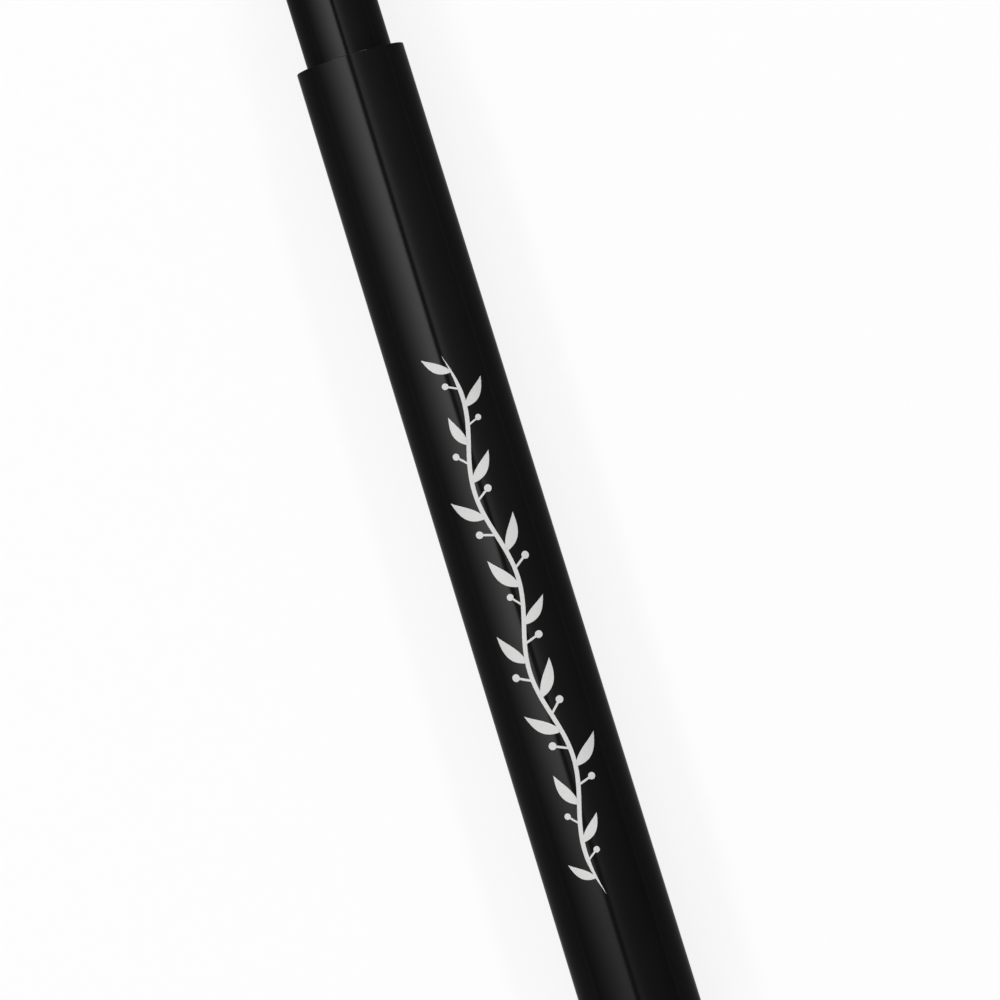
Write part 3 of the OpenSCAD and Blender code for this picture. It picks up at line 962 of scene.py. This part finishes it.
class EYELINER_OT_outer_cap(bpy.types.Operator):
    """Make the outer cap's shell with its stop bead"""

    bl_idname = "eyeliner.outer_cap"
    bl_label = "Outer cap"

    def execute(self, context):
        size, cap = context.scene.eyeliner_pen, context.scene.eyeliner_cap
        mouth, seam = span("outer_cap")
        bead = mouth + cap.stop_front
        bead_end = bead + cap.stop_length
        slope, soft = cap.stop_height, 0.1 * MM
        bead_r = cap.bore_r - slope
        turned_piece("outer_cap_shell", "black_gloss", "cap", "outer_cap", [
            (cap.bore_r, mouth, size.edge), (size.front_r, mouth, size.edge),
            (cap.crown_seam_r, seam, size.edge), (cap.bore_r, seam),
            (cap.bore_r, bead_end, soft), (bead_r, bead_end - slope, soft),
            (bead_r, bead + slope, soft), (cap.bore_r, bead, soft),
        ])
        return {"FINISHED"}


class EYELINER_OT_crown(bpy.types.Operator):
    """Make the cap's crown with its rounded end and spring cup"""

    bl_idname = "eyeliner.crown"
    bl_label = "Cap crown"

    def execute(self, context):
        size, cap = context.scene.eyeliner_pen, context.scene.eyeliner_cap
        rear, end = span("cap_crown")
        seam, floor_x = end - cap.crown_head, end - cap.crown_wall
        gate, spigot_r = end - size.gate_depth, cap.bore_r - size.press_gap
        turned_piece("cap_crown_body", "black_gloss", "cap", "cap_crown", [
            (0.0, floor_x), (cap.cup_r, floor_x, 0.3 * MM), (cap.cup_r, rear),
            (spigot_r, rear, LEAD), (spigot_r, seam),
            (cap.crown_seam_r, seam, size.edge),
            (cap.crown_seam_r, end, cap.crown_corner),
            (size.gate_r + size.gate_depth, end), (size.gate_r, gate), (0.0, gate),
        ])
        return {"FINISHED"}


class EYELINER_OT_inner_cap(bpy.types.Operator):
    """Make the sprung inner cap and its seal ring"""

    bl_idname = "eyeliner.inner_cap"
    bl_label = "Inner cap and seal"

    def execute(self, context):
        cap, soft = context.scene.eyeliner_cap, 0.1 * MM
        mouth, boss_end = span("inner_cap")
        back = boss_end - cap.boss_length
        floor_x = back - cap.inner_floor
        flange = starts_at("outer_cap") + cap.stop_front + cap.stop_length + 0.05 * MM
        flange_end = flange + cap.flange_length
        turned_piece("inner_cap_body", "natural_plastic", "inner_cap", "inner_cap", [
            (0.0, floor_x), (cap.inner_bore_r, floor_x, 0.5 * MM),
            (cap.inner_bore_r, mouth, soft), (cap.body_r, mouth),
            (cap.body_r, flange, 0.04 * MM), (cap.flange_r, flange, CRISP),
            (cap.flange_r, flange_end, CRISP),
            (cap.body_r, flange_end + 0.25 * MM, soft), (cap.body_r, back, 0.3 * MM),
            (cap.boss_r, back, soft), (cap.boss_r, boss_end, LEAD), (0.0, boss_end),
        ])
        rear, front = span("inner_cap_seal")
        lips = [
            (cap.seal_bore_r, rear, 0.15 * MM), (cap.body_r, rear, LEAD),
            (cap.body_r, front), (cap.seal_bore_r, front),
        ]
        turned_piece(
            "inner_cap_seal_ring", "grey_rubber", "inner_cap", "inner_cap_seal", lips
        )
        return {"FINISHED"}


def spring(tree, given):
    """A compression spring with closed end turns."""
    coil_r, height = given["Coil radius"], given["Height"]
    spiral = add(tree, "GeometryNodeCurveSpiral", {
        "Resolution": given["Turn steps"], "Rotations": given["Spring turns"],
        "Start Radius": coil_r, "End Radius": coil_r, "Height": height,
    })
    share = field(tree, "GeometryNodeSplineParameter")
    dip = (share * TURN).math("SINE") * given["Closed ends"] / -TURN
    closed_up = add(tree, "GeometryNodeSetPosition", {
        "Geometry": spiral, "Offset": vector(tree, z=dip * height),
    })
    section = add(tree, "GeometryNodeCurvePrimitiveCircle", {
        "Resolution": given["Wire sides"], "Radius": given["Wire radius"],
    })
    wire = add(tree, "GeometryNodeCurveToMesh", {
        "Curve": closed_up, "Profile Curve": section, "Fill Caps": True,
    })
    return add(tree, "GeometryNodeTransform", {
        "Geometry": wire,
        "Translation": vector(tree, x=given["Start"], z=given["Axis height"]),
        "Rotation": LAID,
    })


class EYELINER_OT_spring(bpy.types.Operator):
    """Make the inner cap's spring"""

    bl_idname = "eyeliner.spring"
    bl_label = "Spring"

    def execute(self, context):
        cap = context.scene.eyeliner_cap
        rear, front = span("inner_cap_spring")
        values = by_name(cap, "wire_r", "spring_turns", "closed_ends")
        values.update({
            "Start": rear + cap.wire_r, "Height": front - rear - 2 * cap.wire_r,
            "Coil radius": cap.spring_r - cap.wire_r,
            "Turn steps": 72, "Wire sides": 20,
        })
        mesh = outward(grown_mesh("inner_cap_coil", spring, values, "spring_steel"))
        coil = piece(mesh, "inner_cap_coil", "spring_steel", "cap", "inner_cap_spring")
        floor_x = ends_at("cap_crown") - cap.crown_wall
        back = ends_at("inner_cap") - cap.boss_length
        slide = next(j for j in frame["joints"] if j["name"] == "inner_cap_slide")
        travel = slide["range_m"][1]
        1 - travel / (floor_x - back)
        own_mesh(coil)
        return {"FINISHED"}


# ---- the print


# Points along and across the flat grids that are bent into shape.
STEM_GRID, LEAF_GRID, STALK_GRID, BERRY_SIDES = (420, 5), (17, 9), (9, 2), 24
STEM_TAPER = 14.0  # the stem narrows over the run divided by this
LEAF_FULLNESS, LEAF_BOW = 0.8, 0.28
LEAF_LEAN, BERRY_LEAN, LEAN_VARIES = 0.66, 1.0, 0.08
LEAF_VARIES, BERRY_VARIES = 0.1, 0.12
SMALLEST, SHRINK_CURVE = 0.6, 0.35  # leaves and berries at the sprig's ends
PRINT_WELD = 2e-6
# The float sockets of a Random Value node.
CHANCE_LOW, CHANCE_HIGH, CHANCE = 2, 3, 1


def sprig(tree, given):
    """The sprig: drawn flat, given its film's thickness and bent round the barrel."""
    run, leaves, stem_width = given["Run"], given["Leaves"], given["Stem width"]
    leaf_length, film = given["Leaf length"], given["Film"]
    wave = given["Wave length"].math("POWER", -1.0) * TURN

    def split():
        """X, Y and Z of the current position."""
        here = add(tree, "GeometryNodeInputPosition")
        parts = add(tree, "ShaderNodeSeparateXYZ", {"Vector": here})
        return [Field(tree, socket) for socket in parts.outputs]

    def moved(geometry, x, y, z=0.0):
        """Puts the points of a geometry at x, y and z."""
        places = {"Geometry": geometry, "Position": vector(tree, x, y, z)}
        return add(tree, "GeometryNodeSetPosition", places)

    def joined(*parts):
        """One geometry from several."""
        made = tree.nodes.new("GeometryNodeJoinGeometry")
        for part in parts:
            tree.links.new(part.outputs[0], made.inputs[0])
        return made

    def welded(geometry):
        """Merges the points that meet."""
        inputs = {"Geometry": geometry, "Distance": PRINT_WELD}
        return add(tree, "GeometryNodeMergeByDistance", inputs)

    def stem_at(along):
        """Height and slope of the stem at a distance from its start."""
        turn = along * wave
        height = turn.math("SINE") * given["Wave height"]
        return height, turn.math("COSINE") * wave * given["Wave height"]

    def drawn(size, place_xy):
        """A flat grid whose points are put where place_xy says."""
        across, down = size
        grid = add(tree, "GeometryNodeMeshGrid", {
            "Size X": 1.0, "Size Y": 1.0, "Vertices X": across, "Vertices Y": down,
        })
        x, y, _ = split()
        return moved(grid, *place_xy(x + 0.5, y))

    def stem(u, v):
        along = u * run
        height, slope = stem_at(along)
        norm = (slope * slope + 1.0).math("SQRT")
        ends = u.math("MINIMUM", 1.0 - u) * STEM_TAPER
        wide = v * stem_width * ends.math("MINIMUM", 1.0)
        return along - wide * slope / norm, height + wide / norm

    def leaf(u, v):
        rise = u.math("POWER", LEAF_FULLNESS) * math.pi
        belly = rise.math("SINE").math("MAXIMUM", 0.0)
        bow = u * (1.0 - u) * leaf_length * LEAF_BOW
        return u * leaf_length, v * given["Leaf width"] * belly + bow

    def stalk(u, v):
        return u * given["Stalk"], v * stem_width * 0.5

    def row(times, shift, swing, lean, shape, varies):
        """Copies of a shape along the stem, leaning to alternate sides."""
        line = add(tree, "GeometryNodeMeshLine", {
            "Count": times, "Offset": vector(tree),
        })
        index = field(tree, "GeometryNodeInputIndex")
        along = (index + shift) / leaves * run
        height, slope = stem_at(along)
        side = (index.math("MODULO", 2.0) * -2.0 + 1.0) * swing
        chance = field(
            tree,
            "FunctionNodeRandomValue",
            {CHANCE_LOW: -1.0, CHANCE_HIGH: 1.0, "Seed": given["Seed"]},
            output=CHANCE,
            data_type="FLOAT",
        )
        ends = (along / run * math.pi).math("SINE").math("POWER", SHRINK_CURVE)
        grow = (chance * varies + 1.0) * (ends * (1 - SMALLEST) + SMALLEST)
        turn = slope.math("ARCTANGENT") + side * (chance * LEAN_VARIES + lean)
        return add(tree, "GeometryNodeInstanceOnPoints", {
            "Points": moved(line, along, height),
            "Instance": shape,
            "Rotation": vector(tree, z=turn),
            "Scale": vector(tree, grow, grow * side, 1.0),
        })

    disc = {"Vertices": BERRY_SIDES, "Radius": given["Berry radius"]}
    berry = add(tree, "GeometryNodeTransform", {
        "Geometry": add(
            tree, "GeometryNodeMeshCircle", disc, fill_type="TRIANGLE_FAN"
        ),
        "Translation": vector(tree, x=given["Stalk"]),
    })
    stalked = joined(berry, drawn(STALK_GRID, stalk))
    leaf_shape = drawn(LEAF_GRID, leaf)
    flat = joined(
        drawn(STEM_GRID, stem),
        row(leaves, 0.5, 1.0, LEAF_LEAN, leaf_shape, LEAF_VARIES),
        row(leaves - 1.0, 1.0, -1.0, BERRY_LEAN, stalked, BERRY_VARIES),
    )
    base = welded(add(tree, "GeometryNodeRealizeInstances", {"Geometry": flat}))
    lift = {"Offset": vector(tree, z=1.0), "Offset Scale": film * 2.0}
    top = add(
        tree,
        "GeometryNodeExtrudeMesh",
        {"Mesh": base, **lift, "Individual": False},
        mode="FACES",
    )
    x, y, z = split()
    place = x + given["Start"]
    under = given["Tail radius"] - (place - given["Tail place"]) * given["Taper"]
    bend, out = y / under, under + z - film
    up = out * bend.math("COSINE") + given["Axis height"]
    return moved(welded(joined(top, base)), place, out * bend.math("SINE"), up)


class EYELINER_OT_sprig(bpy.types.Operator):
    """Print the white sprig on the barrel"""

    bl_idname = "eyeliner.sprig"
    bl_label = "Printed sprig"

    def execute(self, context):
        size, art = context.scene.eyeliner_pen, context.scene.eyeliner_print
        tail, front = span("barrel")
        values = by_name(art, *PrintSizes.__annotations__)
        values.update({
            "Start": starts_at("tail_plug") + art.start,
            "Tail place": tail,
            "Tail radius": size.tail_r,
            "Taper": (size.tail_r - size.front_r) / (front - tail),
        })
        mesh = outward(grown_mesh("printed_sprig", sprig, values, "print"))
        piece(mesh, "printed_sprig", "white_plastic", "pen")
        return {"FINISHED"}


# ---- studio


# Light round the pen: degrees from straight up, positive towards +Y, and the
# share of the panel's level there.
KEY_LIGHT = [
    (4.8, 0.0), (7.5, 0.85), (9.6, 1.0), (14.0, 1.0), (23.0, 0.86), (35.0, 0.63),
    (47.0, 0.44), (60.0, 0.27), (74.0, 0.17), (84.0, 0.25), (89.0, 0.4),
]
SIDE_LIGHT = [
    (-2.3, 0.0), (-2.5, 0.6), (-3.5, 0.95), (-6.5, 1.0), (-9.5, 0.84),
    (-12.0, 0.64), (-18.0, 0.42), (-26.0, 0.28), (-38.0, 0.21), (-60.0, 0.2),
    (-76.0, 0.32), (-84.0, 0.6), (-88.8, 1.0),
]
# Light along both panels: the place from end to end and the share there.
LIGHT_ALONG = [
    (0.0, 0.0), (0.06, 0.25), (0.375, 0.34), (0.396, 0.48), (0.411, 0.65),
    (0.43, 0.79), (0.456, 0.87), (0.55, 0.97), (0.62, 1.0), (0.94, 1.0), (1.0, 0.0),
]
PANEL_LENGTH = 0.84
LAMPS_MIDDLE = Vector((-0.04, 0.0, AXIS_Z))
# Lamps past the pen's ends: how far off, how long and wide, and their leans.
FAR, END_PANEL, CORNER_STRIP = 1.5, (1.5, 1.0), (1.0, 0.13)
END_LEAN, CORNER_LEAN, CORNER_TURN = map(math.radians, (52, 45, 38))
FLOOR_SIDES, RIM_STEPS, FLOOR_RINGS = 96, 10, (0.05, 0.2, 0.6, 1.0)
PAPER = (0.79,) * 3, (0.82,) * 3  # the two tones that the floor's grain mixes
BACKDROP_LEVEL = 1.1


def white_backdrop(share):
    """White backdrop that shows as white, and keeps the object's shadow."""
    material = bpy.data.materials.new("studio_white")
    material.use_nodes = True
    tree = material.node_tree
    tree.nodes.clear()
    rays = add(tree, "ShaderNodeLightPath").outputs
    seen = Field(tree, rays["Is Camera Ray"])
    for kind in ("Is Glossy Ray", "Is Transmission Ray"):
        seen = seen.math("MAXIMUM", Field(tree, rays[kind]))
    white = {"Color": (1, 1, 1, 1), "Strength": seen * BACKDROP_LEVEL}
    glow = add(tree, "ShaderNodeEmission", white)
    here = add(tree, "ShaderNodeTexCoord").outputs["Object"]
    paper = tint(tree, grain(tree, here, 2 * MM), *PAPER)
    cover = add(tree, "ShaderNodeBsdfDiffuse", {"Color": paper})
    mixed = add(tree, "ShaderNodeMixShader", {0: share, 1: glow, 2: cover})
    add(tree, "ShaderNodeOutputMaterial", {"Surface": mixed})
    return material


def lay_floor(studio):
    """A wide round floor whose rim curves up."""
    rings = [(studio.floor_radius * share, 0.0) for share in FLOOR_RINGS]
    for k in range(1, RIM_STEPS + 1):
        turned = math.pi / 2 * k / RIM_STEPS
        out, up = studio.floor_rim * math.sin(turned), 1 - math.cos(turned)
        rings.append((studio.floor_radius + out, studio.floor_rim * up))
    vertices, faces = [(0.0, 0.0, 0.0)], []
    for radius, height in rings:
        for i in range(FLOOR_SIDES):
            turned = TURN * i / FLOOR_SIDES
            x, y = radius * math.cos(turned), radius * math.sin(turned)
            vertices.append((x, y, height))
    for i in range(FLOOR_SIDES):
        j = (i + 1) % FLOOR_SIDES
        faces.append((0, 1 + i, 1 + j))
        for ring in range(len(rings) - 1):
            low, high = 1 + ring * FLOOR_SIDES, 1 + (ring + 1) * FLOOR_SIDES
            faces.append((low + i, high + i, high + j, low + j))
    mesh = bpy.data.meshes.new("studio_floor")
    mesh.from_pydata(vertices, [], faces)
    mesh.shade_smooth()
    mesh.materials.append(white_backdrop(studio.floor_share))
    made = bpy.data.objects.new("studio_floor", mesh)
    bpy.context.scene.collection.objects.link(made)


def light_world(scene, studio):
    """Dim even light from all round."""
    world = bpy.data.worlds.new("studio_world")
    world.use_nodes = True
    background = world.node_tree.nodes["Background"]
    background.inputs["Color"].default_value = (1.0, 1.0, 1.0, 1.0)
    background.inputs["Strength"].default_value = studio.world_level
    scene.world = world


def panel(name, out, along, distance, size_x, size_y):
    """An area lamp that faces the pen from a direction, and its light's nodes."""
    data = bpy.data.lights.new(name, "AREA")
    data.shape = "RECTANGLE"
    data.size, data.size_y = size_x, size_y
    data.energy = math.pi * size_x * size_y
    data.use_nodes = True
    lamp = bpy.data.objects.new(name, data)
    bpy.context.scene.collection.objects.link(lamp)
    out = out.normalized()
    turn = Matrix((along, out.cross(along), out)).transposed().to_4x4()
    lamp.matrix_world = Matrix.Translation(LAMPS_MIDDLE + out * distance) @ turn
    lamp.visible_camera = False
    return data.node_tree


def lit(tree, level):
    """Gives a lamp its radiance."""
    connect(tree, tree.nodes["Emission"].inputs["Strength"], level)


def side_panel(name, middle, half, distance, level, light):
    """A long panel beside the pen, graded round the pen and along it.

    Middle and half are degrees round the pen, counted as in the light's list.
    """
    lean = math.radians(middle)
    out = Vector((0.0, math.sin(lean), math.cos(lean)))
    width = 2 * distance * math.tan(math.radians(half))
    tree = panel(name, out, Vector((1, 0, 0)), distance, PANEL_LENGTH, width)
    spot = add(tree, "ShaderNodeNewGeometry").outputs["Parametric"]
    parts = add(tree, "ShaderNodeSeparateXYZ", {"Vector": spot}).outputs
    stops = []
    for degrees, share in light:
        offset = math.tan(math.radians(degrees - middle)) * distance
        stops.append((0.5 + offset / width, share))
    round_pen = ramp(tree, parts["Y"], sorted(stops))
    lit(tree, round_pen * ramp(tree, parts["X"], LIGHT_ALONG) * level)


def hang_lamps(studio):
    """A long graded panel on each side of the pen, a panel at each end of it,
    and four narrow strips at the corners."""
    side_panel("key_panel", 47.0, 42.5, 0.75, studio.key_level, KEY_LIGHT)
    side_panel("side_panel", -45.5, 43.4, 0.8, studio.side_level, SIDE_LIGHT)
    for name, end in (("nib_end_panel", 1), ("tail_end_panel", -1)):
        out = Vector((end * math.sin(END_LEAN), 0.0, math.cos(END_LEAN)))
        lit(panel(name, out, Vector((0, 1, 0)), FAR, *END_PANEL), studio.end_level)
    s, c = math.sin(CORNER_LEAN), math.cos(CORNER_LEAN)
    for corner, (end, side) in enumerate(((1, 1), (1, -1), (-1, 1), (-1, -1))):
        turned = CORNER_TURN * side
        upright = Vector((0.0, math.sin(turned), math.cos(turned)))
        ahead = Vector((end, 0.0, 0.0))
        out, along = ahead * s + upright * c, ahead * c - upright * s
        strip = panel(f"corner_strip_{corner}", out, along, FAR, *CORNER_STRIP)
        lit(strip, studio.corner_level)


def set_camera(scene, studio):
    """The photograph's view: straight down, the pen leaning in the frame."""
    data = bpy.data.cameras.new("camera")
    data.sensor_width = 36.0
    data.lens = data.sensor_width * studio.camera_height / studio.frame_width
    data.clip_start, data.clip_end = 0.01, 20.0
    made = bpy.data.objects.new("camera", data)
    bpy.context.scene.collection.objects.link(made)
    s, c = math.sin(studio.roll), math.cos(studio.roll)
    right, up = Vector((-s, -c, 0.0)), Vector((c, -s, 0.0))
    turn = Matrix((right, up, Vector((0, 0, 1)))).transposed().to_4x4()
    eye = Vector((studio.target_x, studio.target_y, AXIS_Z + studio.camera_height))
    made.matrix_world = Matrix.Translation(eye) @ turn
    scene.camera = made


class EYELINER_OT_stage(bpy.types.Operator):
    """Make the floor, the lamps, the world and the camera"""

    bl_idname = "eyeliner.stage"
    bl_label = "Studio"

    def execute(self, context):
        scene = context.scene
        studio = scene.eyeliner_studio
        lay_floor(studio)
        light_world(scene, studio)
        hang_lamps(studio)
        set_camera(scene, studio)
        scene.view_settings.view_transform = "Standard"
        return {"FINISHED"}


# ---- registration


OPERATORS = (
    EYELINER_OT_barrel, EYELINER_OT_tail, EYELINER_OT_tank,
    EYELINER_OT_front_section, EYELINER_OT_feed, EYELINER_OT_collector,
    EYELINER_OT_nib, EYELINER_OT_ball, EYELINER_OT_outer_cap,
    EYELINER_OT_crown, EYELINER_OT_inner_cap, EYELINER_OT_spring,
    EYELINER_OT_sprig, EYELINER_OT_stage,
)

GROUPS = {
    "eyeliner_pen": PenSizes,
    "eyeliner_feed": FeedSizes,
    "eyeliner_cap": CapSizes,
    "eyeliner_print": PrintSizes,
    "eyeliner_finishes": Finishes,
    "eyeliner_studio": StudioSettings,
}


class EYELINER_PT_sidebar(bpy.types.Panel):
    """Lists the operators and their sizes."""

    bl_label = "Liquid eyeliner pen"
    bl_idname = "EYELINER_PT_sidebar"
    bl_space_type = "VIEW_3D"
    bl_region_type = "UI"
    bl_category = "Eyeliner"

    def draw(self, context):
        """Draws a button for each operator, then each group of sizes."""
        for operator in OPERATORS:
            self.layout.operator(operator.bl_idname)
        for key in GROUPS:
            group = getattr(context.scene, key)
            box = self.layout.box()
            for name in type(group).__annotations__:
                box.prop(group, name)


CLASSES = (*GROUPS.values(), *OPERATORS, EYELINER_PT_sidebar)


def register():
    """Registers the classes and hangs the sizes on the scene."""
    for operator in OPERATORS:
        operator.bl_options = {"REGISTER", "UNDO"}
    for cls in CLASSES:
        bpy.utils.register_class(cls)
    for key, group in GROUPS.items():
        setattr(bpy.types.Scene, key, PointerProperty(type=group))


def unregister():
    """Takes everything off again."""
    for key in GROUPS:
        delattr(bpy.types.Scene, key)
    for cls in reversed(CLASSES):
        bpy.utils.unregister_class(cls)


def main():
    """Makes the pen and its studio."""
    register()
    for operator in OPERATORS:
        group, name = operator.bl_idname.split(".")
        getattr(getattr(bpy.ops, group), name)()


if __name__ == "__main__":
    main()
